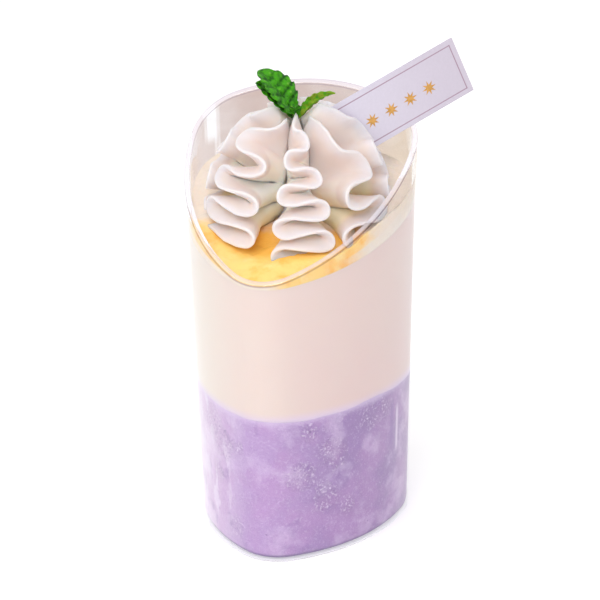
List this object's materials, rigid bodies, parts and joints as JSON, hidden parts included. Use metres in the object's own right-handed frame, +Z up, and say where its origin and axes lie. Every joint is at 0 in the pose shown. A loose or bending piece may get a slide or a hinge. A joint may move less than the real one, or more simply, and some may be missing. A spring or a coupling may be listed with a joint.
{
  "type": "dessert cup",
  "caption": "Clear three-cornered dessert cup cut on a slant, filled with layered pudding under piped cream, with a lift-out mint sprig and a pull-out tag card.",
  "frame": {"origin": "centre of the flat base, on the surface that the cup stands on", "axes": "+Z up along the cup's axis; +Y towards the high back edge, so the low lip faces -Y; +X to the right seen from the lip"},
  "size_m": [0.0632, 0.0527, 0.1131],
  "materials": {
    "clear_plastic": "polished, clear",
    "taro": "moist mash seen through the wall",
    "pudding": "smooth, moist",
    "mango": "wet puree",
    "cream": "soft satin",
    "leaf": "fresh leaf, satin",
    "leaf_young": "fresh young leaf, satin",
    "stem": "satin",
    "card": "coated card, satin"
  },
  "bodies": {
    "cup": {"cup_shell": "clear_plastic", "taro_layer": "taro", "pudding_layer": "pudding", "mango_layer": "mango", "cream_core": "cream", "cream_petal_front": "cream", "cream_petal_front_right": "cream", "cream_petal_right": "cream", "cream_petal_back_right": "cream", "cream_petal_back": "cream", "cream_petal_back_left": "cream", "cream_petal_left": "cream", "cream_petal_front_left": "cream"},
    "mint": {"mint_stem": "stem", "mint_leaf_large": "leaf", "mint_leaf_under": "leaf", "mint_leaf_small": "leaf_young", "mint_leaf_bud": "leaf"},
    "tag": {"tag_card": "card"}
  },
  "joints": [
    {"name": "mint_lift", "type": "slide", "parent": "cup", "child": "mint", "axis": [0, 0, 1], "range_m": [0, 0.03]},
    {"name": "tag_pull", "type": "slide", "parent": "cup", "child": "tag", "axis": [0.7345, 0.5455, 0.4035], "range_m": [0, 0.045]}
  ]
}
